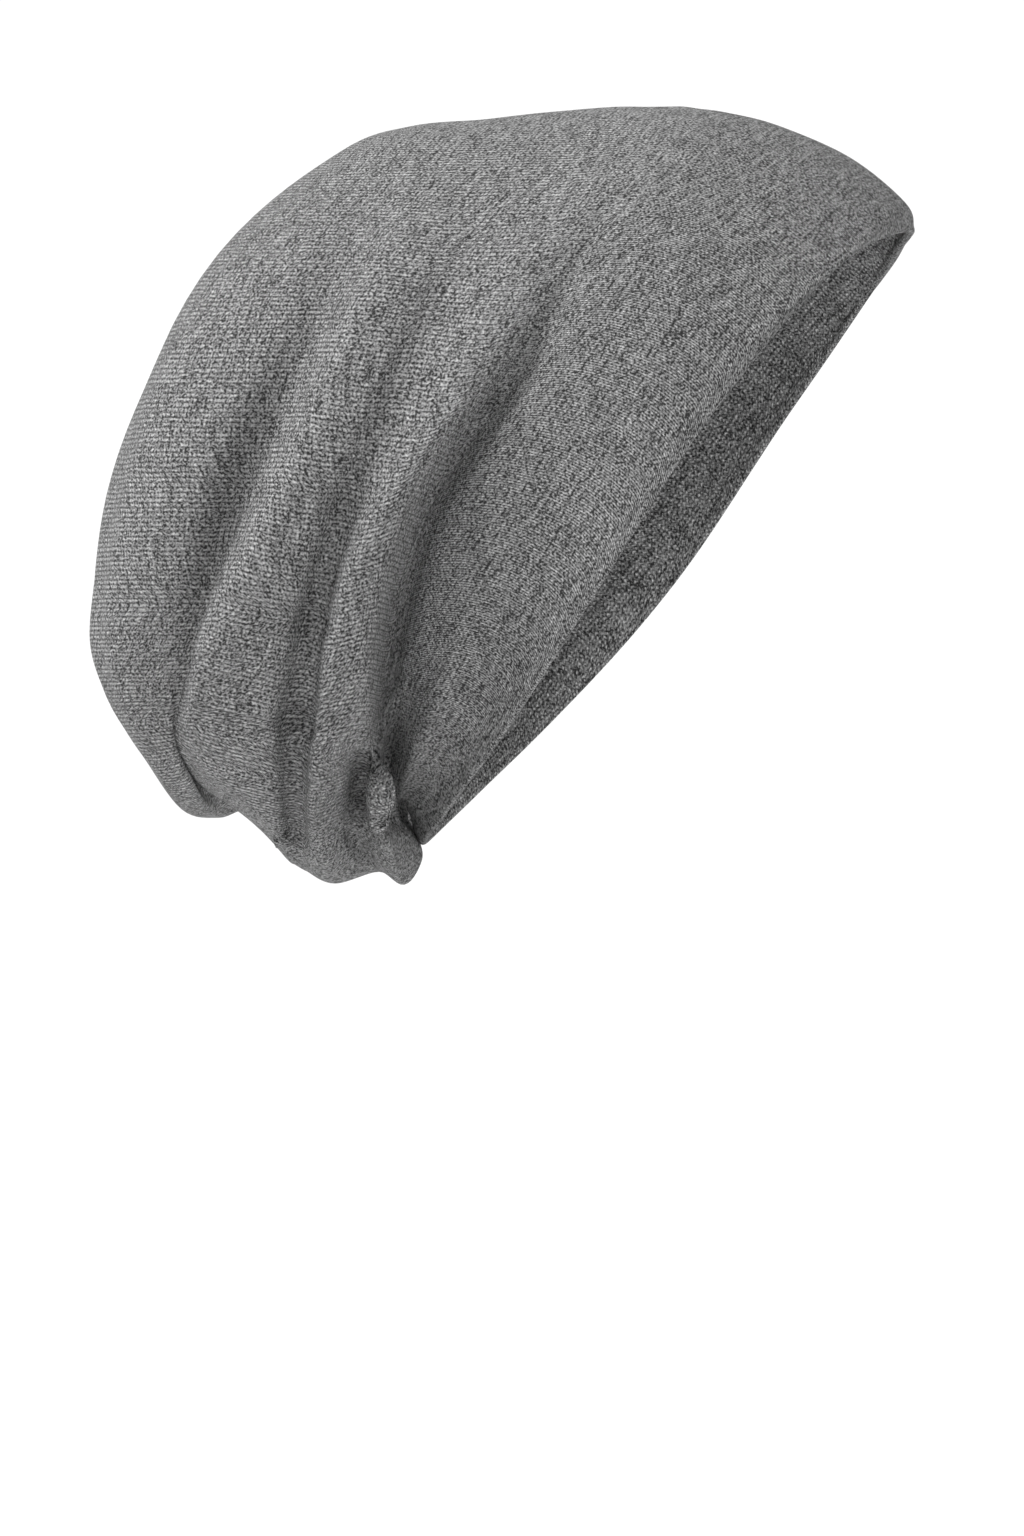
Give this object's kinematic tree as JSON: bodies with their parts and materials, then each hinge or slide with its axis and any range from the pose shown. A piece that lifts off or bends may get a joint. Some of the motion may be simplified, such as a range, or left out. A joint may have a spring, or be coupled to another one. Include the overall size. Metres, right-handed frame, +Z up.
{
  "type": "slouchy beanie",
  "caption": "Slouchy knitted beanie as worn: a smooth panel round the head, a slack crown hanging behind in soft folds, open at the rim.",
  "frame": {"origin": "middle of the rim's opening, where the hat sits on a head", "axes": "+Z up, -Y towards the forehead, -X the wearer's right; the rim climbs from the nape to the forehead"},
  "size_m": [0.1694, 0.2159, 0.2049],
  "materials": {
    "jersey": "matt heather grey knitted jersey, fine wales and flecks"
  },
  "bodies": {
    "root": {"jersey_shell": "jersey"}
  },
  "joints": []
}
